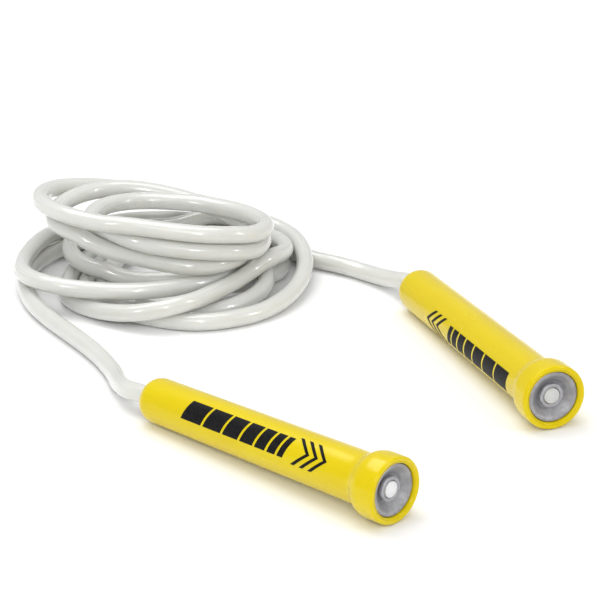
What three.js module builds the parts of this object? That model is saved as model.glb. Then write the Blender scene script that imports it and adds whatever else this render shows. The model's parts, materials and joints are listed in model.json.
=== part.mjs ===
// A jump rope: one thick PVC rope between two hollow moulded handles, lying with its spare length coiled.
//
// The rope passes right through each handle. At the flared mouth its end is held in a crimped steel
// ferrule that bears on a dished washer, and the washer bears on a seat inside the mouth, so a handle
// can't come off the rope's end but turns and slides on the rope.
//
// Millimetres, +Z up. The floor is z = 0, and the origin is under the middle of the two handles' box.
// A lathe outline is a list of (radius, distance along the handle from its nose).

import * as THREE from 'three';

// Handle
const HANDLE_LENGTH = 150;
const NOSE_RADIUS = 10.3;
const NOSE_ROUNDING = { radial: 4.2, along: 6 };
const NECK_RADIUS = 11.6;
const FLARE_RADIUS = 15.1;
const FLARE_LENGTH = 13.9;
const FLARE_START = HANDLE_LENGTH - FLARE_LENGTH;
const SHOULDER = 6;
const RIM_ROUNDING = 1.2;
const NOSE_WALL = 4;
const NOSE_HOLE_RADIUS = 5;
const HOLE_LIP = 0.8;
const BORE_RADIUS = { nose: 8, neck: 9, seat: 10.2 };
const RECESS_RADIUS = 12;
const RECESS_CHAMFER = 0.8;

// Rope, and what holds its ends
const ROPE_RADIUS = 4.2;
const ROPE_SIDES = 12;
const WASHER = { radius: 11.7, hole: 5, thickness: 1.2, depth: 1.5, dish: 3.4, flat: 6.6, rim: 10.2 };
const FERRULE = { inner: 4.5, outer: 5.9, length: 1.8, chamfer: 0.4 };
const ROPE_STANDS_OUT = 0.4;
const GAP = 0.3;

// Distances along the handle that follow from those
const WASHER_FACE = HANDLE_LENGTH - WASHER.depth;
const SEAT = WASHER_FACE - WASHER.thickness - GAP;
const FERRULE_START = WASHER_FACE - WASHER.dish + GAP;
const ROPE_END = FERRULE_START + FERRULE.length + ROPE_STANDS_OUT;

// A handle lies on its nose's round edge and on its flare, so its axis climbs a little to the mouth.
const REST = { nose: NOSE_ROUNDING.along, flare: FLARE_START + SHOULDER };
const TILT = Math.atan2(FLARE_RADIUS - NOSE_RADIUS, REST.flare - REST.nose);
const NOSE_HEIGHT = NOSE_RADIUS * Math.cos(TILT) - REST.nose * Math.sin(TILT);

// Where each handle's nose is, its heading from nose to mouth, and the rope's free route from the nose
// to the coil. The route starts straight out of the nose.
const LAYOUT = {
  left: {
    nose: [-93.6, -6.4],
    heading: -44.8,
    route: [
      [-105.0, 6.2, 8.4],
      [-109.0, 18.1, 6.1],
      [-112.3, 32.6, 4.6],
      [-118.4, 48.6, 4.3],
      [-125.4, 62.1, 4.3],
      [-132.9, 74.6, 4.3],
      [-140.4, 86.6, 4.3],
      [-147.3, 98.3, 4.3],
    ],
  },
  right: {
    nose: [27.6, 119.7],
    heading: -67.4,
    route: [
      [20.5, 132.5, 8.3],
      [15.9, 139.5, 6.2],
      [10.2, 146.3, 4.8],
      [3.6, 152.6, 4.3],
      [-3.0, 157.8, 4.3],
      [-10.9, 162.9, 4.3],
      [-19.9, 168.2, 4.3],
    ],
  },
};
const STRAIGHT_OUT = 8;
const STEP_LENGTH = 4 * ROPE_RADIUS;

// The coil: some nine loose turns, as the ring that they fill
const COIL = { x: -93.4, y: 152.6, inner: 33, outer: 72, topOuter: 63, topInner: 40, height: 50, shoulder: 26 };

const LATHE_SIDES = 40;
const WASHER_SIDES = 40;
const COIL_SIDES = 48;

const FINISHES = {
  plastic: { color: 0xecd61f, roughness: 0.32, metalness: 0 },
  rope: { color: 0xd8d9d4, roughness: 0.18, metalness: 0 },
  steel: { color: 0x9b9aa0, roughness: 0.38, metalness: 0.8 },
};

function meshOf(name, geometry, finish) {
  const mesh = new THREE.Mesh(geometry, new THREE.MeshStandardMaterial(FINISHES[finish]));
  mesh.name = name;
  return mesh;
}

// Turns an outline about the handle's axis, which is local +X from nose to mouth. Every outline runs
// with the material on its left, so the faces point out.
function turned(points, sides) {
  return new THREE.LatheGeometry(points, sides).rotateZ(-Math.PI / 2);
}

function closed(points) {
  return [...points, points[0].clone()];
}

function outlineOf(pairs) {
  return pairs.map(([radius, along]) => new THREE.Vector2(radius, along));
}

function handleOutline() {
  const { radial, along } = NOSE_ROUNDING;
  const path = new THREE.Path();
  path.moveTo(NOSE_HOLE_RADIUS + HOLE_LIP, 0);
  path.lineTo(NOSE_RADIUS - radial, 0);
  path.absellipse(NOSE_RADIUS - radial, along, radial, along, -Math.PI / 2, 0, false, 0);
  path.lineTo(NECK_RADIUS, FLARE_START - SHOULDER);
  path.bezierCurveTo(
    NECK_RADIUS, FLARE_START + 1,
    FLARE_RADIUS, FLARE_START - 2,
    FLARE_RADIUS, FLARE_START + SHOULDER,
  );
  path.lineTo(FLARE_RADIUS, HANDLE_LENGTH - RIM_ROUNDING);
  path.absarc(FLARE_RADIUS - RIM_ROUNDING, HANDLE_LENGTH - RIM_ROUNDING, RIM_ROUNDING, 0, Math.PI / 2, false);
  path.lineTo(RECESS_RADIUS + RECESS_CHAMFER, HANDLE_LENGTH);
  path.lineTo(RECESS_RADIUS, HANDLE_LENGTH - RECESS_CHAMFER);
  path.lineTo(RECESS_RADIUS, SEAT);
  path.lineTo(BORE_RADIUS.seat, SEAT);
  path.lineTo(BORE_RADIUS.neck, FLARE_START - SHOULDER);
  path.lineTo(BORE_RADIUS.nose, NOSE_WALL);
  path.lineTo(NOSE_HOLE_RADIUS, NOSE_WALL);
  path.lineTo(NOSE_HOLE_RADIUS, HOLE_LIP);
  return closed(path.getPoints(4));
}

// A pressed disc: a flat ring round the hole, a sloping wall, and a flat rim. Both faces are parallel.
function washerOutline() {
  const front = [
    [WASHER.hole, WASHER_FACE - WASHER.dish],
    [WASHER.flat, WASHER_FACE - WASHER.dish],
    [WASHER.rim, WASHER_FACE],
    [WASHER.radius, WASHER_FACE],
  ];
  const back = front.map(([radius, along]) => [radius, along - WASHER.thickness]);
  return closed(outlineOf([...back, ...front.reverse()]));
}

function ferruleOutline() {
  const { inner, outer, length, chamfer } = FERRULE;
  const end = FERRULE_START + length;
  return closed(outlineOf([
    [inner, FERRULE_START],
    [outer - chamfer, FERRULE_START],
    [outer, FERRULE_START + chamfer],
    [outer, end - chamfer],
    [outer - chamfer, end],
    [inner, end],
  ]));
}

function ropeEndOutline() {
  return outlineOf([
    [0, 0],
    [ROPE_RADIUS, 0],
    [ROPE_RADIUS, ROPE_END - ROPE_STANDS_OUT],
    [ROPE_RADIUS - ROPE_STANDS_OUT, ROPE_END],
    [0, ROPE_END],
  ]);
}

function coilOutline() {
  const { inner, outer, topInner, topOuter, height, shoulder } = COIL;
  return closed(outlineOf([
    [inner, 0],
    [outer, 0],
    [outer, shoulder],
    [topOuter, height],
    [topInner, height],
    [inner, shoulder],
  ]));
}

// Everything that lies along one handle, in a group whose local +X is the handle's axis.
function handleGroup(side, { nose, heading }) {
  const group = new THREE.Group();
  group.add(
    meshOf(`${side}_handle`, turned(handleOutline(), LATHE_SIDES), 'plastic'),
    meshOf(`${side}_washer`, turned(washerOutline(), WASHER_SIDES), 'steel'),
    meshOf(`${side}_ferrule`, turned(ferruleOutline(), WASHER_SIDES), 'steel'),
    meshOf(`${side}_rope_end`, turned(ropeEndOutline(), ROPE_SIDES), 'rope'),
  );
  group.rotation.set(0, -TILT, THREE.MathUtils.degToRad(heading), 'ZYX');
  group.position.set(nose[0], nose[1], NOSE_HEIGHT);
  group.updateMatrixWorld();
  return group;
}

// The rope's stretch between a nose and the coil: straight out of the nose, then along its route.
function leadMesh(side, group, route) {
  const alongHandle = (distance) => group.localToWorld(new THREE.Vector3(distance, 0, 0));
  const points = [alongHandle(-GAP), alongHandle(-STRAIGHT_OUT / 2), alongHandle(-STRAIGHT_OUT)];
  points.push(...route.map((point) => new THREE.Vector3(...point)));
  const path = new THREE.CatmullRomCurve3(points, false, 'centripetal');
  const section = new THREE.Shape();
  section.absarc(0, 0, ROPE_RADIUS, 0, 2 * Math.PI, false);
  const geometry = new THREE.ExtrudeGeometry(section, {
    steps: Math.round(path.getLength() / STEP_LENGTH),
    curveSegments: ROPE_SIDES / 2,
    extrudePath: path,
  });
  return meshOf(`${side}_rope_lead`, geometry, 'rope');
}

function coilMesh() {
  const geometry = new THREE.LatheGeometry(coilOutline(), COIL_SIDES).rotateX(Math.PI / 2);
  const mesh = meshOf('rope_coil', geometry, 'rope');
  mesh.position.set(COIL.x, COIL.y, 0);
  return mesh;
}

const jumpRope = new THREE.Group();
for (const [side, layout] of Object.entries(LAYOUT)) {
  const group = handleGroup(side, layout);
  jumpRope.add(group, leadMesh(side, group, layout.route));
}
jumpRope.add(coilMesh());

export default jumpRope;
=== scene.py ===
"""Looks for the jump rope: one coiled PVC rope, two yellow handles, and what holds the rope in their mouths.

Millimetres are used for the shapes and turned into metres (MM) where a mesh is made. A handle and what
is in its mouth are made in the handle's own frame: +X from the nose to the mouth, the nose at 0, and
angles about X measured from straight up, towards +Y. Its mesh is then moved to where the handle lies, and
its first coordinates stay on it as the attribute "own", for the materials.
"""

import json
import math

import bmesh
import bpy
import numpy as np
from mathutils import Matrix, Vector


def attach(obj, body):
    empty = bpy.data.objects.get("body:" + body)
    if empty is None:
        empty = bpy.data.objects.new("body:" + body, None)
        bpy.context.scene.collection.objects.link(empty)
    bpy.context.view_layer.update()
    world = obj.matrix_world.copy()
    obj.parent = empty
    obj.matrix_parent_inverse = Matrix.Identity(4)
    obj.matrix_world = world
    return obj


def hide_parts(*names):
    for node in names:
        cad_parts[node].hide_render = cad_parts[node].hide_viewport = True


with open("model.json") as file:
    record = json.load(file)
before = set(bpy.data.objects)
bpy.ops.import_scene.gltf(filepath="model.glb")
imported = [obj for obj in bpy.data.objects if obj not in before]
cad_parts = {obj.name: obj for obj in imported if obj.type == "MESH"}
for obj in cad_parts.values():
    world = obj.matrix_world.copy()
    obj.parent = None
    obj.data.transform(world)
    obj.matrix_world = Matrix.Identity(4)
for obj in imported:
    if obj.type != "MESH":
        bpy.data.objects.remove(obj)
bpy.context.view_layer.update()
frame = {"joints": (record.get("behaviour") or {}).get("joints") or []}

MM = 0.001
SIDES = ("left", "right")

# --- sizes, as the CAD has them -----------------------------------------------------------------
HANDLE_LENGTH = 150.0
NOSE_RADIUS = 10.3
NOSE_ROUNDING = (4.2, 6.0)  # radial, along
NOSE_WALL = 4.0
NOSE_HOLE_RADIUS = 5.0
HOLE_LIP = 0.8
NECK_RADIUS = 11.6
FLARE_RADIUS = 15.1
FLARE_START = 136.1
SHOULDER = 6.0
RIM_ROUNDING = 1.2
BORE_RADIUS = {"nose": 8.0, "neck": 9.0, "seat": 10.2}
RECESS_RADIUS = 12.0
RECESS_CHAMFER = 0.8
SEAT = 147.0
WASHER_FACE = 148.5
WASHER = {"radius": 11.7, "hole": 5.0, "thickness": 1.2, "dish": 3.4, "flat": 6.6, "rim": 10.2}
FERRULE_START = 145.4
FERRULE_LENGTH = 1.8
ROPE_RADIUS = 4.2
ROPE_DIAMETER = 2 * ROPE_RADIUS
ROPE_END = 147.6
STRAIGHT_OUT = 8.0

# How fine the meshes are: steps in millimetres, and sides round each turned shape
ROPE_STEP = 3.0
RING_STEP = 1.5
ROPE_SIDES = 32
HANDLE_SIDES = 120
DISC_SIDES = 96

# --- the camera ---------------------------------------------------------------------------------
camera = bpy.data.objects.new("camera", bpy.data.cameras.new("camera"))
bpy.context.scene.collection.objects.link(camera)
camera.location = (-0.0274, -1.4817, 0.6876)
camera.rotation_euler = (math.radians(66.866), 0.0, 0.0)
camera.data.lens = 218.4
camera.data.sensor_width = 36.0
camera.data.clip_start = 0.05
bpy.context.scene.camera = camera


# --- where the handles lie ----------------------------------------------------------------------
def handle_matrix(side):
    """The handle's own frame, from its spin joint: the joint is at the middle of the mouth."""
    spin = next(j for j in frame["joints"] if j["name"] == f"{side}_spin")
    along = Vector(spin["axis"]).normalized()
    across = Vector((0, 0, 1)).cross(along).normalized()
    nose = Vector(spin["pos_m"]) - along * HANDLE_LENGTH * MM
    turn = Matrix((along, across, along.cross(across))).transposed().to_4x4()
    return Matrix.Translation(nose) @ turn


HANDLE_AT = {side: handle_matrix(side) for side in SIDES}


def in_row_frame(side, along):
    """A point on a handle's axis, in millimetres in the row frame."""
    return np.array(HANDLE_AT[side] @ Vector((along * MM, 0, 0))) / MM


# --- mesh helpers -------------------------------------------------------------------------------
def store(mesh, name, vectors):
    stored = mesh.attributes.new(name, "FLOAT_VECTOR", "POINT")
    stored.data.foreach_set("vector", np.asarray(vectors, np.float32).ravel())


def add_object(name, mesh, matrix=None):
    if matrix is not None:
        store(mesh, "own", [tuple(v.co) for v in mesh.vertices])
        mesh.transform(matrix)
    piece = bpy.data.objects.new(name, mesh)
    bpy.context.scene.collection.objects.link(piece)
    return piece


def finish_mesh(mesh, sharp_degrees=38):
    """Faces point out, and only real edges stay sharp."""
    shape = bmesh.new()
    shape.from_mesh(mesh)
    bmesh.ops.recalc_face_normals(shape, faces=shape.faces)
    shape.to_mesh(mesh)
    shape.free()
    mesh.shade_smooth()
    mesh.set_sharp_from_angle(angle=math.radians(sharp_degrees))


def arc(centre, radii, start, end, count):
    """Points on an ellipse's arc; angles in degrees from +along towards +radius."""
    points = []
    for k in range(count + 1):
        angle = math.radians(start + (end - start) * k / count)
        points.append((centre[0] + radii[0] * math.cos(angle), centre[1] + radii[1] * math.sin(angle)))
    return points


def bezier(p0, p1, p2, p3, count):
    points = []
    for k in range(count + 1):
        t = k / count
        weights = ((1 - t) ** 3, 3 * t * (1 - t) ** 2, 3 * t * t * (1 - t), t ** 3)
        points.append(tuple(sum(w * p[i] for w, p in zip(weights, (p0, p1, p2, p3))) for i in (0, 1)))
    return points


def filleted(corners, steps=5):
    """Rounds each corner (along, radius, fillet) of a closed outline."""
    points = []
    for k, (x, r, fillet) in enumerate(corners):
        here = np.array((x, r))
        before = np.array(corners[k - 1][:2]) - here
        after = np.array(corners[(k + 1) % len(corners)][:2]) - here
        reach = min(fillet, 0.45 * np.linalg.norm(before), 0.45 * np.linalg.norm(after))
        if reach < 0.02:
            points.append((x, r))
            continue
        start = here + before / np.linalg.norm(before) * reach
        end = here + after / np.linalg.norm(after) * reach
        for n in range(steps + 1):
            t = n / steps
            points.append(tuple((1 - t) ** 2 * start + 2 * t * (1 - t) * here + t * t * end))
    return points


def split_long(points, longest):
    """Adds points along an outline's long straight stretches."""
    out = []
    for k, point in enumerate(points):
        here, nxt = np.array(point), np.array(points[(k + 1) % len(points)])
        pieces = max(1, math.ceil(math.dist(here, nxt) / longest))
        out.extend(tuple(here + (nxt - here) * n / pieces) for n in range(pieces))
    return out


def lathed(name, outline, angles, matrix, swell=None):
    """Turns a closed outline of (along, radius) about X. swell(along, radius, angle) adds to a radius."""
    count, rings = len(outline), len(angles)
    verts = []
    for angle in angles:
        for x, r in outline:
            radius = r + (swell(x, r, angle) if swell else 0.0)
            verts.append((x * MM, radius * math.sin(angle) * MM, radius * math.cos(angle) * MM))
    faces = []
    for i in range(rings):
        for k in range(count):
            a, b = i * count, ((i + 1) % rings) * count
            n = (k + 1) % count
            faces.append((a + k, a + n, b + n, b + k))
    mesh = bpy.data.meshes.new(name)
    mesh.from_pydata(verts, [], faces)
    finish_mesh(mesh)
    return add_object(name, mesh, matrix)


def even_angles(count):
    return [2 * math.pi * k / count for k in range(count)]


# --- material helpers ---------------------------------------------------------------------------
class Nodes:
    """A material being wired up, starting from its Principled shader."""

    def __init__(self, name, attribute=None, **constants):
        self.attribute = attribute
        self.material = bpy.data.materials.new(name)
        self.material.use_nodes = True
        self.tree = self.material.node_tree
        self.shader = self.tree.nodes["Principled BSDF"]
        for socket, value in constants.items():
            self.shader.inputs[socket.replace("_", " ")].default_value = value

    def add(self, kind, settings=None, **inputs):
        node = self.tree.nodes.new(kind)
        for key, value in (settings or {}).items():
            setattr(node, key, value)
        for key, value in inputs.items():
            socket = node.inputs[int(key[1:])] if key[0] == "i" and key[1:].isdigit() else node.inputs[key]
            if isinstance(value, bpy.types.NodeSocket):
                self.tree.links.new(value, socket)
            else:
                socket.default_value = value
        return node

    def link(self, output, socket):
        self.tree.links.new(output, self.shader.inputs[socket])

    def position(self):
        """Coordinates in metres: the stored attribute, or the object's."""
        if self.attribute:
            return self.add("ShaderNodeAttribute", {"attribute_name": self.attribute}).outputs["Vector"]
        return self.add("ShaderNodeTexCoord").outputs["Object"]

    def noise(self, scale, detail=3.0, roughness=0.55):
        """Noise whose grains are 1/scale metres across."""
        place = self.add("ShaderNodeMapping", Vector=self.position(), Scale=scale).outputs["Vector"]
        return self.add(
            "ShaderNodeTexNoise", Vector=place, Scale=1.0, Detail=detail, Roughness=roughness,
        ).outputs["Fac"]

    def remap(self, value, low, high, to_low, to_high):
        node = self.add("ShaderNodeMapRange", Value=value, i1=low, i2=high, i3=to_low, i4=to_high)
        return node.outputs["Result"]

    def math(self, operation, a, b=0.0):
        return self.add("ShaderNodeMath", {"operation": operation}, i0=a, i1=b).outputs["Value"]

    def mix(self, factor, a, b):
        node = self.add("ShaderNodeMix", {"data_type": "RGBA"})
        for index, value in ((0, factor), (6, a), (7, b)):
            if isinstance(value, bpy.types.NodeSocket):
                self.tree.links.new(value, node.inputs[index])
            else:
                node.inputs[index].default_value = value
        return node.outputs[2]

    def bump(self, height, strength, distance, before=None):
        node = self.add("ShaderNodeBump", Height=height, Strength=strength, Distance=distance)
        if before is not None:
            self.tree.links.new(before, node.inputs["Normal"])
        return node.outputs["Normal"]


# --- the rope -----------------------------------------------------------------------------------
# The free stretches between each nose and the coil, as the CAD has them.
LEFT_LEAD = [
    (-105.0, 6.2, 8.4), (-109.0, 18.1, 6.1), (-112.3, 32.6, 4.6), (-118.4, 48.6, 4.3),
    (-125.4, 62.1, 4.3), (-132.9, 74.6, 4.3), (-140.4, 86.6, 4.3), (-147.3, 98.3, 4.3),
]
RIGHT_LEAD = [
    (-19.9, 168.2, 4.3), (-10.9, 162.9, 4.3), (-3.0, 157.8, 4.3), (3.6, 152.6, 4.3),
    (10.2, 146.3, 4.8), (15.9, 139.5, 6.2), (20.5, 132.5, 8.3),
]
INTO_COIL = [(-153.2, 110.2, 4.3), (-157.7, 124.7, 4.3)]
OUT_OF_COIL = [(-69.2, 210.7, 4.3), (-51.2, 198.2, 4.3), (-39.2, 186.2, 4.3), (-28.7, 175.7, 4.3)]

# The coil runs clockwise from above. A turn is a row of stations: x and y from the coil's middle,
# height of the rope's middle above the floor, and the heading in degrees (0 is +X and 90 is +Y). The rope
# between the stations is worked out below.
COIL_MIDDLE = (-93.4, 152.6)
TURNS = [
    # from the left handle, along the floor, out to the right and under the pile
    [(-67, -11, 4.3, 90), (-4, 54, 4.3, 0), (57, 7, 5, -90), (47, -12, 5, -135), (20, -25.5, 12, -172),
     (-14, -25, 10.5, 160)],
    # over the first turn, then on the floor in front
    [(-46, 6, 14.3, 90), (-6, 50, 11.7, 0), (46, -1, 13.4, -77), (49.5, -22.5, 7.8, -97),
     (38.5, -39, 5, -133), (18.7, -50.5, 4.6, -162), (-9, -45.5, 4.3, 158)],
    # slanting over both, from far right to front left
    [(-28.5, -15, 4.3, 90), (6, 41.2, 11.7, 0), (59.5, 7, 14, -88), (57, -3, 14.6, -112),
     (37.2, -28, 13, -126), (19, -53, 12.7, -138), (2, -62.8, 11.5, -173), (-24, -53.5, 6, 146)],
    # round the front left and up on to the pile
    [(-46, -27, 4.3, 92), (-43, 1, 4.6, 78), (-4, 45.5, 4.3, 0), (39, -12, 20, -90), (14, -38, 23.5, 180)],
    # the pile's second turn
    [(-20, -29, 28.5, 158), (-53, -3, 34, 90), (-16, 35, 34, 0), (17, 30, 28, -28), (48.5, -13, 25, -90),
     (16, -38.5, 31, 180)],
    # the small turn on top
    [(-35, -5, 34, 90), (-6, 26.5, 31, 0), (37, 9, 31.6, -45), (49.5, -13, 33, -90), (19, -38, 38.8, 180)],
    # from the top left down behind everything and round the right side on the floor
    [(-60, 8, 40.5, 90), (-4, 46, 26.3, 0), (36, 46, 16.5, -36), (65, 16, 12.9, -72), (68.5, 2, 9.6, -90),
     (47, -49.5, 4.3, -140), (19, -61.5, 4.3, -170), (-5, -54.3, 4.3, 155)],
    # a half hidden turn, then out over the front
    [(-37, -20, 4.3, 90), (2, 37, 4.3, 0), (35, -3, 11, -90), (18.4, -37.2, 14, -152), (-14, -47.5, 14, 180)],
    # round the left side and the back, to the right handle
    [(-68, -15.5, 12.9, 90), (-2, 64, 6, 0)],
]
STATION_SPACING = 14.0
# How much of the rope beside each nose keeps its route while the turns settle
HELD = {"left": 125.0, "right": 70.0}
# Rounds of settling: how often, stiffness, pull to the first shape, and spacing in rope diameters
SETTLING = [(300, 0.25, 0.01, 1.01), (100, 0.08, 0.002, 1.02)]
NEIGHBOURS_EVERY = 10
NEAR = 1.6  # in diameters: strands this near are watched
ALONG = 2.2  # in diameters: points this near along the rope are never pushed apart


def coil_points():
    """Joins the stations with arcs whose ends follow the headings."""
    stations = np.array([s for turn in TURNS for s in turn], float)
    stations[:, :2] += COIL_MIDDLE
    heading = np.radians(stations[:, 3])
    tangent = np.stack([np.cos(heading), np.sin(heading)], 1)

    def climb(j):
        if j in (0, len(stations) - 1):
            return 0.0
        reach = sum(np.linalg.norm(stations[j + k, :2] - stations[j, :2]) for k in (-1, 1))
        return (stations[j + 1, 2] - stations[j - 1, 2]) / reach

    points = []
    for j in range(len(stations) - 1):
        p, q = stations[j, :3], stations[j + 1, :3]
        chord = q[:2] - p[:2]
        turn = math.radians(max(1.0, abs((stations[j, 3] - stations[j + 1, 3] + 180) % 360 - 180)))
        share = 4 / 3 * math.tan(turn / 4) / math.sin(turn)
        out, back = share * abs(chord @ tangent[j]), share * abs(chord @ tangent[j + 1])
        c1 = np.array([*(p[:2] + out * tangent[j]), p[2] + climb(j) * out])
        c2 = np.array([*(q[:2] - back * tangent[j + 1]), q[2] - climb(j + 1) * back])
        pieces = max(2, round(np.linalg.norm(chord) / STATION_SPACING))
        for t in np.arange(pieces) / pieces:
            u = 1 - t
            points.append(u ** 3 * p + 3 * u ** 2 * t * c1 + 3 * u * t * t * c2 + t ** 3 * q)
    points.append(stations[-1, :3])
    return points


def smooth_through(points, per_span):
    """Catmull-Rom through the points."""
    points = np.asarray(points, float)
    padded = np.vstack([2 * points[0] - points[1], points, 2 * points[-1] - points[-2]])
    t = np.linspace(0, 1, per_span, endpoint=False)[:, None]
    out = []
    for k in range(len(points) - 1):
        a, b, c, d = padded[k:k + 4]
        out.append(0.5 * (2 * b + (c - a) * t + (2 * a - 5 * b + 4 * c - d) * t ** 2
                          + (3 * b - a - 3 * c + d) * t ** 3))
    return np.vstack([*out, points[-1][None]])


def evenly(points, step):
    """The same line with its points a step apart, and its length."""
    along = np.concatenate([[0], np.cumsum(np.linalg.norm(np.diff(points, axis=0), axis=1))])
    places = np.linspace(0, along[-1], round(along[-1] / step) + 1)
    return np.stack([np.interp(places, along, points[:, k]) for k in range(3)], 1), along[-1]


def settle(line, held):
    """Moves the turns apart until they rest on each other, keeping the rope's length and its smoothness."""
    home, line = line, line.copy()
    free = np.where(held, 0.0, 1.0)
    count = len(line)
    spacing = np.linalg.norm(np.diff(line, axis=0), axis=1).mean()
    skip = math.ceil(ALONG * ROPE_DIAMETER / spacing)
    for rounds, stiffness, pull, apart in SETTLING:
        for n in range(rounds):
            if n % NEIGHBOURS_EVERY == 0:
                gaps = ((line[:, None] - line[None]) ** 2).sum(-1)
                first, second = np.nonzero(np.triu(gaps < (NEAR * ROPE_DIAMETER) ** 2, skip))
            between = line[first] - line[second]
            distance = np.linalg.norm(between, axis=1) + 1e-9
            overlap = np.clip(ROPE_DIAMETER * apart - distance, 0, None)
            push = between / distance[:, None] * (overlap * 0.5)[:, None]
            move, touching = np.zeros_like(line), np.zeros(count)
            for ends, sign in ((first, 1), (second, -1)):
                np.add.at(move, ends, sign * push)
                np.add.at(touching, ends[overlap > 0], 1)
            line += move / np.sqrt(np.maximum(touching, 1))[:, None] * free[:, None]
            bend = np.zeros_like(line)
            bend[1:-1] = 0.5 * (line[:-2] + line[2:]) - line[1:-1]
            uneven = np.zeros_like(line)
            uneven[2:-2] = 0.5 * (bend[1:-3] + bend[3:-1]) - bend[2:-2]
            line += (pull * (home - line) - stiffness * uneven) * free[:, None]
            for start in (0, 1, 0, 1):
                a = np.arange(start, count - 1, 2)
                link = line[a + 1] - line[a]
                length = np.linalg.norm(link, axis=1) + 1e-9
                share = (length - spacing) / length / np.maximum(free[a] + free[a + 1], 1e-9)
                give = share[:, None] * link / 2
                line[a] += give * free[a][:, None]
                line[a + 1] -= give * free[a + 1][:, None]
            line[:, 2] = np.where(held, line[:, 2], np.maximum(line[:, 2], ROPE_RADIUS))
    return line


def rope_line():
    """The rope's middle from one mouth to the other, in millimetres."""
    out_of_nose = {side: [in_row_frame(side, x) for x in (0, -STRAIGHT_OUT)] for side in SIDES}
    free = [*out_of_nose["left"], *LEFT_LEAD, *INTO_COIL, *coil_points(),
            *OUT_OF_COIL, *RIGHT_LEAD, *out_of_nose["right"][::-1]]
    line, length = evenly(smooth_through(free, 6), ROPE_STEP)
    places = np.linspace(0, length, len(line))
    line = settle(line, (places < HELD["left"]) | (places > length - HELD["right"]))
    steps = round(ROPE_END / ROPE_STEP)
    inside = {side: [in_row_frame(side, ROPE_END * (1 - k / steps)) for k in range(steps)] for side in SIDES}
    return evenly(smooth_through(np.vstack([inside["left"], line, inside["right"][::-1]]), 3), RING_STEP)


GRIPPED_RADIUS = 3.7
GRIPPED_TAPER = 1.8
CUT_EDGE = 0.4
CUT_EDGE_RINGS = [0, 0.08, 0.2, 0.4, 0.8]


def rope_radius(from_end):
    """Cut edge, the neck that the ferrule squeezes, and the plain rope after it."""
    if from_end < CUT_EDGE:
        return GRIPPED_RADIUS - CUT_EDGE + math.sqrt(max(CUT_EDGE ** 2 - (CUT_EDGE - from_end) ** 2, 0))
    t = min(max((from_end - (ROPE_END - FERRULE_START)) / GRIPPED_TAPER, 0.0), 1.0)
    return GRIPPED_RADIUS + (ROPE_RADIUS - GRIPPED_RADIUS) * t * t * (3 - 2 * t)


def tube(name, line, radii, sides):
    """A tube along a line, with closed ends. "lay" holds where a point is along and across the tube."""
    along = np.concatenate([[0], np.cumsum(np.linalg.norm(np.diff(line, axis=0), axis=1))])
    tangents = np.gradient(line, along, axis=0)
    tangents /= np.linalg.norm(tangents, axis=1)[:, None]
    normal = np.cross(tangents[0], (0, 0, 1.0))
    turn = 2 * np.pi * np.arange(sides) / sides
    verts, lay = [], []
    for point, tangent, radius, s in zip(line, tangents, radii, along):
        normal = normal - tangent * (normal @ tangent)
        normal /= np.linalg.norm(normal)
        side = np.cross(tangent, normal)
        across = radius * (np.cos(turn)[:, None] * normal + np.sin(turn)[:, None] * side)
        verts.append(point + across)
        lay.append(np.stack([np.full(sides, s), radius * np.cos(turn), radius * np.sin(turn)], 1))
    verts, lay = np.vstack(verts), np.vstack(lay)
    faces = []
    for k in range(len(line) - 1):
        for n in range(sides):
            m = (n + 1) % sides
            faces.append((k * sides + n, k * sides + m, (k + 1) * sides + m, (k + 1) * sides + n))
    last = (len(line) - 1) * sides
    ends = [line[0], line[-1]]
    centres = [len(verts), len(verts) + 1]
    for n in range(sides):
        m = (n + 1) % sides
        faces.append((centres[0], m, n))
        faces.append((centres[1], last + n, last + m))
    lay = np.vstack([lay, [[0, 0, 0], [along[-1], 0, 0]]])
    mesh = bpy.data.meshes.new(name)
    mesh.from_pydata((np.vstack([verts, ends]) * MM).tolist(), [], faces)
    store(mesh, "lay", lay * MM)
    finish_mesh(mesh, 50)
    return add_object(name, mesh)


def rope_material(length):
    nodes = Nodes(
        "rope_pvc", "lay", IOR=1.5, Subsurface_Weight=0.8, Subsurface_Scale=0.010,
        Subsurface_Radius=(1.0, 0.95, 0.85), Coat_Weight=1.0, Coat_Roughness=0.11,
    )
    mottle = nodes.noise((90, 90, 90), detail=4)
    die_lines = nodes.noise((6, 900, 900), detail=2)
    cloud = nodes.noise((14, 30, 30), detail=2)
    shade = nodes.math("ADD", nodes.math("MULTIPLY", mottle, 0.45), nodes.math("MULTIPLY", cloud, 0.55))
    base = nodes.mix(nodes.remap(shade, 0.35, 0.65, 0, 1), (0.63, 0.635, 0.61, 1), (0.585, 0.59, 0.56, 1))
    scuff = nodes.remap(nodes.noise((240, 240, 240), detail=5), 0.62, 0.75, 0, 0.5)
    base = nodes.mix(scuff, base, (0.57, 0.57, 0.54, 1))
    along = nodes.add("ShaderNodeSeparateXYZ", Vector=nodes.position()).outputs["X"]
    to_end = nodes.math("MINIMUM", along, nodes.math("SUBTRACT", length * MM, along))
    cut = nodes.remap(to_end, 0.00005, 0.0003, 1, 0)  # the sawn faces are whiter than the skin
    nodes.link(nodes.mix(cut, base, (0.97, 0.97, 0.96, 1)), "Base Color")
    nodes.link(nodes.remap(nodes.math("ADD", die_lines, scuff), 0.3, 1.0, 0.27, 0.30), "Roughness")
    waves = nodes.bump(nodes.noise((40, 60, 60), detail=2), 0.22, 0.0006)
    lines = nodes.bump(die_lines, 0.01, 0.00008, waves)
    nodes.link(nodes.bump(mottle, 0.08, 0.0002, lines), "Normal")
    return nodes.material


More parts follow.
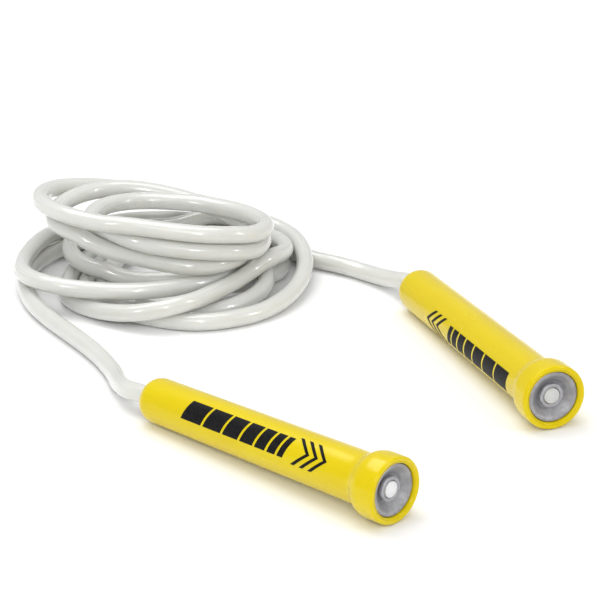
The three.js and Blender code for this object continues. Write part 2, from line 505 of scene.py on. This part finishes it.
line, rope_length = rope_line()
run = np.concatenate([CUT_EDGE_RINGS, np.arange(RING_STEP, rope_length - 1, RING_STEP)])
run = np.concatenate([run, rope_length - np.array(CUT_EDGE_RINGS[::-1])])
even = np.linspace(0, rope_length, len(line))
rings = np.stack([np.interp(run, even, line[:, k]) for k in range(3)], 1)
rope = tube("rope", rings, [rope_radius(min(s, rope_length - s)) for s in run], ROPE_SIDES)
rope.data.materials.append(rope_material(rope_length))
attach(rope, "rope")
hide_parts("rope_coil", *[f"{side}_{name}" for side in SIDES for name in ("rope_lead", "rope_end")])


# --- the handles --------------------------------------------------------------------------------
BODY_LINE = (NECK_RADIUS - NOSE_RADIUS) / (FLARE_START - SHOULDER - NOSE_ROUNDING[1])
PARTING_ANGLES = (math.radians(28), math.radians(208))
PARTING_HALF_WIDTH = 0.22
PARTING_HEIGHT = 0.07
OUTSIDE = 9.9  # every point of the outer skin that carries the parting line is farther out than this


def handle_outline():
    """Closed outline: nose, body, flared collar, rounded rim, recess with the washer's seat, bore."""
    radial, along = NOSE_ROUNDING
    nose = arc((along, NOSE_RADIUS - radial), (along, radial), 180, 90, 14)
    collar = bezier(
        (FLARE_START - SHOULDER, NECK_RADIUS), (FLARE_START + 1, NECK_RADIUS),
        (FLARE_START - 2, FLARE_RADIUS), (FLARE_START + SHOULDER, FLARE_RADIUS), 20,
    )
    rim_centre = (HANDLE_LENGTH - RIM_ROUNDING, FLARE_RADIUS - RIM_ROUNDING)
    rim = arc(rim_centre, (RIM_ROUNDING, RIM_ROUNDING), 90, 0, 8)
    inside = filleted([
        (HANDLE_LENGTH, RECESS_RADIUS + RECESS_CHAMFER, 0.5),
        (HANDLE_LENGTH - RECESS_CHAMFER, RECESS_RADIUS, 0.5),
        (SEAT, RECESS_RADIUS, 0.25),
        (SEAT, BORE_RADIUS["seat"], 0.3),
        (FLARE_START - SHOULDER, BORE_RADIUS["neck"], 3.0),
        (NOSE_WALL, BORE_RADIUS["nose"], 0.8),
        (NOSE_WALL, NOSE_HOLE_RADIUS, 0.4),
        (HOLE_LIP, NOSE_HOLE_RADIUS, 0.5),
        (0.0, NOSE_HOLE_RADIUS + HOLE_LIP, 0.5),
    ])
    return split_long([*nose, *collar, *rim, *inside], 5.0)


def parting_line(x, radius, angle):
    """The mould's parting line: a hair-fine ridge along both sides of the body and the nose."""
    if radius < OUTSIDE or x > HANDLE_LENGTH - 2:
        return 0.0
    away = min(abs((angle - a + math.pi) % (2 * math.pi) - math.pi) for a in PARTING_ANGLES) * radius
    return PARTING_HEIGHT * math.exp(-(away / PARTING_HALF_WIDTH) ** 2)


def handle_angles():
    angles = set(even_angles(HANDLE_SIDES))
    for at in PARTING_ANGLES:
        angles.update(at + k * PARTING_HALF_WIDTH / 3 / NECK_RADIUS for k in range(-6, 7))
    ordered = sorted(angles)
    return [a for k, a in enumerate(ordered) if k == 0 or a - ordered[k - 1] > 0.004]


def plastic_material():
    nodes = Nodes(
        "handle_plastic", "own", IOR=1.46, Specular_IOR_Level=0.3, Subsurface_Weight=0.10,
        Specular_Tint=(1.0, 0.85, 0.05, 1.0),
        Subsurface_Scale=0.003, Subsurface_Radius=(1.0, 0.8, 0.15), Coat_Weight=0.36, Coat_Roughness=0.11,
    )
    cloud = nodes.noise((22, 60, 60), detail=2)
    grain = nodes.noise((2600, 2600, 2600), detail=2)
    flow = nodes.noise((9, 260, 260), detail=3)
    base = nodes.mix(nodes.remap(cloud, 0.35, 0.65, 0, 1), (0.705, 0.556, 0.001, 1), (0.67, 0.517, 0.001, 1))
    speck = nodes.remap(nodes.noise((900, 900, 900), detail=4), 0.70, 0.78, 0, 0.35)
    base = nodes.mix(speck, base, (0.62, 0.47, 0.03, 1))
    wear = nodes.remap(nodes.noise((120, 420, 420), detail=6), 0.60, 0.72, 0, 1)
    base = nodes.mix(nodes.math("MULTIPLY", wear, 0.22), base, (0.76, 0.63, 0.03, 1))
    nodes.link(base, "Base Color")
    dull = nodes.math("ADD", flow, nodes.math("MULTIPLY", wear, 0.3))
    nodes.link(nodes.remap(dull, 0.3, 0.95, 0.22, 0.34), "Roughness")
    skin = nodes.bump(grain, 0.10, 0.00006)
    flow_bump = nodes.bump(flow, 0.06, 0.0003, skin)
    nodes.link(nodes.bump(nodes.noise((30, 90, 90), detail=1), 0.10, 0.0008, flow_bump), "Normal")
    return nodes.material


def ink_material():
    nodes = Nodes("print_ink", "own", IOR=1.4, Specular_IOR_Level=0.12)
    patch = nodes.noise((800, 800, 800), detail=4)
    base = nodes.mix(nodes.remap(patch, 0.35, 0.7, 0, 1), (0.006, 0.006, 0.007, 1), (0.014, 0.014, 0.015, 1))
    thin = nodes.remap(nodes.noise((2200, 2200, 2200), detail=3), 0.68, 0.76, 0, 0.6)
    nodes.link(nodes.mix(thin, base, (0.06, 0.05, 0.01, 1)), "Base Color")
    nodes.link(nodes.remap(patch, 0.3, 0.7, 0.34, 0.5), "Roughness")
    nodes.link(nodes.bump(patch, 0.12, 0.00005), "Normal")
    return nodes.material


# The print: slanted bars that narrow along the handle, then three chevrons. All plain shapes.
PRINT_HALF_HEIGHT = 5.2
BAR_SLANT = 0.32
BARS = [(0.0, 12.6), (14.0, 11.0), (26.4, 9.4), (37.2, 7.8), (46.4, 6.2), (54.0, 4.8), (60.2, 3.4)]
CHEVRONS = [(67.0, 2.2), (72.2, 2.2), (77.4, 2.2)]
CHEVRON_REACH = 7.5
CHEVRON_HALF_HEIGHT = 6.6
PRINT_AT = {"left": (31.5, math.radians(-53), 1), "right": (124.0, math.radians(-92), -1)}
INK = (0.07, -0.12)  # how far the ink's two faces are above the plastic
INK_STEP = 0.8
INK_ROWS = 16


def body_radius(x):
    return NOSE_RADIUS + BODY_LINE * (x - NOSE_ROUNDING[1])


def ink_patch(shape, start, width, half_height, lean, place):
    """One closed sliver of ink, bent round the handle. lean(t) shifts it along at height t."""
    origin, middle, way = place
    columns, rows = max(3, math.ceil(width / INK_STEP)), INK_ROWS
    grid = {}
    for k in range(columns + 1):
        for n in range(rows + 1):
            t = half_height * (2 * n / rows - 1)
            x = origin + way * (start + width * k / columns + lean(t))
            angle = middle + way * t / NECK_RADIUS
            for layer, lift in enumerate(INK):
                radius = body_radius(x) + lift
                grid[k, n, layer] = shape.verts.new(
                    (x * MM, radius * math.sin(angle) * MM, radius * math.cos(angle) * MM)
                )
    for k in range(columns):
        for n in range(rows):
            for layer in (0, 1):
                corners = ((k, n), (k + 1, n), (k + 1, n + 1), (k, n + 1))
                shape.faces.new([grid[c, r, layer] for c, r in corners])
    border = [(k, 0) for k in range(columns)] + [(columns, n) for n in range(rows)]
    border += [(k, rows) for k in range(columns, 0, -1)] + [(0, n) for n in range(rows, 0, -1)]
    for here, nxt in zip(border, border[1:] + border[:1]):
        shape.faces.new([grid[(*here, 0)], grid[(*nxt, 0)], grid[(*nxt, 1)], grid[(*here, 1)]])


def print_piece(side):
    shape = bmesh.new()
    place = PRINT_AT[side]
    for start, width in BARS:
        ink_patch(shape, start, width, PRINT_HALF_HEIGHT, lambda t: BAR_SLANT * t, place)
    for start, width in CHEVRONS:
        reach = CHEVRON_REACH / CHEVRON_HALF_HEIGHT
        ink_patch(shape, start, width, CHEVRON_HALF_HEIGHT, lambda t: CHEVRON_REACH - reach * abs(t), place)
    mesh = bpy.data.meshes.new(f"{side}_print")
    shape.to_mesh(mesh)
    shape.free()
    finish_mesh(mesh)
    return add_object(f"{side}_print", mesh, HANDLE_AT[side])


PLASTIC = plastic_material()
INK_BLACK = ink_material()
for side in SIDES:
    handle = lathed(f"{side}_grip", handle_outline(), handle_angles(), HANDLE_AT[side], parting_line)
    handle.data.materials.append(PLASTIC)
    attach(handle, f"{side}_handle")
    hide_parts(f"{side}_handle")
    graphic = print_piece(side)
    graphic.data.materials.append(INK_BLACK)
    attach(graphic, f"{side}_handle")


# --- washers and ferrules -----------------------------------------------------------------------
CRIMPS = 6
CRIMP_DEPTH = 0.22


def washer_outline():
    """A pressed disc of even thickness, its bends rounded and its punched edges rounded a little."""
    floor_at, face, t = WASHER_FACE - WASHER["dish"], WASHER_FACE, WASHER["thickness"]
    front = [(floor_at, WASHER["hole"], 0.25), (floor_at, WASHER["flat"], 1.1), (face, WASHER["rim"], 1.1),
             (face, WASHER["radius"], 0.3)]
    back = [(x - t, r, fillet) for x, r, fillet in front]
    return split_long(filleted([*front, *back[::-1]], 6), 1.2)


def ferrule_outline():
    """A short thick ring, rolled in at both ends, whose waist grips the rope."""
    start, end, middle = FERRULE_START, FERRULE_START + FERRULE_LENGTH, FERRULE_START + FERRULE_LENGTH / 2
    corners = [
        (start, 4.35, 0.3), (start, 5.7, 0.4), (middle, 5.9, 0.4), (end, 5.65, 0.6),
        (end, 4.05, 0.4), (middle, GRIPPED_RADIUS + 0.03, 0.5),
    ]
    return split_long(filleted(corners, 5), 0.5)


def crimped(x, radius, angle):
    """Shallow flats that the crimping jaws leave on the ferrule's outside."""
    if radius < 5.0:
        return 0.0
    return -CRIMP_DEPTH * max(0.0, math.cos(CRIMPS * angle)) ** 2


def steel_material(name, pale, deep, rough):
    nodes = Nodes(name, "own", Metallic=0.75, IOR=2.0)
    parts = nodes.add("ShaderNodeSeparateXYZ", Vector=nodes.position())
    squares = [nodes.math("POWER", parts.outputs[axis], 2.0) for axis in "YZ"]
    from_axis = nodes.math("SQRT", nodes.math("ADD", *squares))
    rings = nodes.add("ShaderNodeCombineXYZ", X=from_axis, Y=parts.outputs["X"])
    turning = nodes.add("ShaderNodeTexNoise", Vector=rings.outputs["Vector"], Scale=5200.0, Detail=2.0)
    blotch = nodes.noise((420, 420, 420), detail=5)
    stain = nodes.remap(nodes.noise((160, 160, 160), detail=4), 0.45, 0.7, 0, 0.5)
    base = nodes.mix(nodes.remap(blotch, 0.35, 0.65, 0, 1), pale, deep)
    nodes.link(nodes.mix(stain, base, tuple(0.78 * c for c in deep[:3]) + (1,)), "Base Color")
    dull = nodes.math("ADD", blotch, stain)
    nodes.link(nodes.remap(dull, 0.3, 1.0, rough - 0.06, rough + 0.12), "Roughness")
    first = nodes.bump(turning.outputs["Fac"], 0.10, 0.00004)
    nodes.link(nodes.bump(blotch, 0.15, 0.00010, first), "Normal")
    return nodes.material


WASHER_STEEL = steel_material("washer_steel", (0.405, 0.402, 0.42, 1), (0.325, 0.322, 0.34, 1), 0.55)
FERRULE_STEEL = steel_material("ferrule_steel", (0.44, 0.435, 0.46, 1), (0.36, 0.355, 0.38, 1), 0.50)
for side in SIDES:
    washer = lathed(f"{side}_disc", washer_outline(), even_angles(DISC_SIDES), HANDLE_AT[side])
    washer.data.materials.append(WASHER_STEEL)
    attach(washer, f"{side}_washer")
    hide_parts(f"{side}_washer")
    ferrule = lathed(f"{side}_crimp", ferrule_outline(), even_angles(DISC_SIDES), HANDLE_AT[side], crimped)
    ferrule.data.materials.append(FERRULE_STEEL)
    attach(ferrule, "rope")
    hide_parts(f"{side}_ferrule")


# --- floor and light ----------------------------------------------------------------------------
FLOOR_HALF = 6.0
FLOOR_CORNERS = [(x * FLOOR_HALF, y * FLOOR_HALF, 0) for x, y in ((-1, -1), (1, -1), (1, 1), (-1, 1))]


def floor_piece():
    mesh = bpy.data.meshes.new("floor")
    mesh.from_pydata(FLOOR_CORNERS, [], [(0, 1, 2, 3)])
    piece = add_object("floor", mesh)
    nodes = Nodes("floor", Roughness=0.7, Specular_IOR_Level=0.2)
    speck = nodes.noise((5, 5, 5), detail=3)
    nodes.link(nodes.mix(speck, (0.93, 0.93, 0.93, 1), (0.91, 0.91, 0.91, 1)), "Base Color")
    piece.data.materials.append(nodes.material)


def area_light(name, place, aim, size, power):
    light = bpy.data.objects.new(name, bpy.data.lights.new(name, "AREA"))
    light.data.shape = "RECTANGLE"
    light.data.size, light.data.size_y = size
    light.data.energy = power
    light.location = place
    light.rotation_euler = (Vector(aim) - Vector(place)).to_track_quat("-Z", "Y").to_euler()
    bpy.context.scene.collection.objects.link(light)


floor_piece()
MIDDLE = (-0.03, 0.06, 0.02)
area_light("overhead", (-0.2, 0.25, 1.6), MIDDLE, (1.2, 0.9), 10.0)
area_light("front_fill", (-0.2, -1.7, 1.5), MIDDLE, (1.2, 0.8), 6.5)
area_light("back_band", (-0.75, 0.70, 1.35), MIDDLE, (1.2, 0.25), 4.5)
area_light("front_strip", (0.10, -1.60, 0.95), MIDDLE, (0.16, 0.55), 4.2)
area_light("left_strip", (-1.30, -0.90, 0.90), MIDDLE, (0.16, 0.55), 3.6)
area_light("right_strip", (1.35, -0.55, 0.80), MIDDLE, (0.16, 0.55), 4.4)
world = bpy.data.worlds.new("studio")
world.use_nodes = True
world.node_tree.nodes["Background"].inputs["Color"].default_value = (1, 1, 1, 1)
world.node_tree.nodes["Background"].inputs["Strength"].default_value = 0.60
bpy.context.scene.world = world
bpy.context.scene.view_settings.view_transform = "Standard"
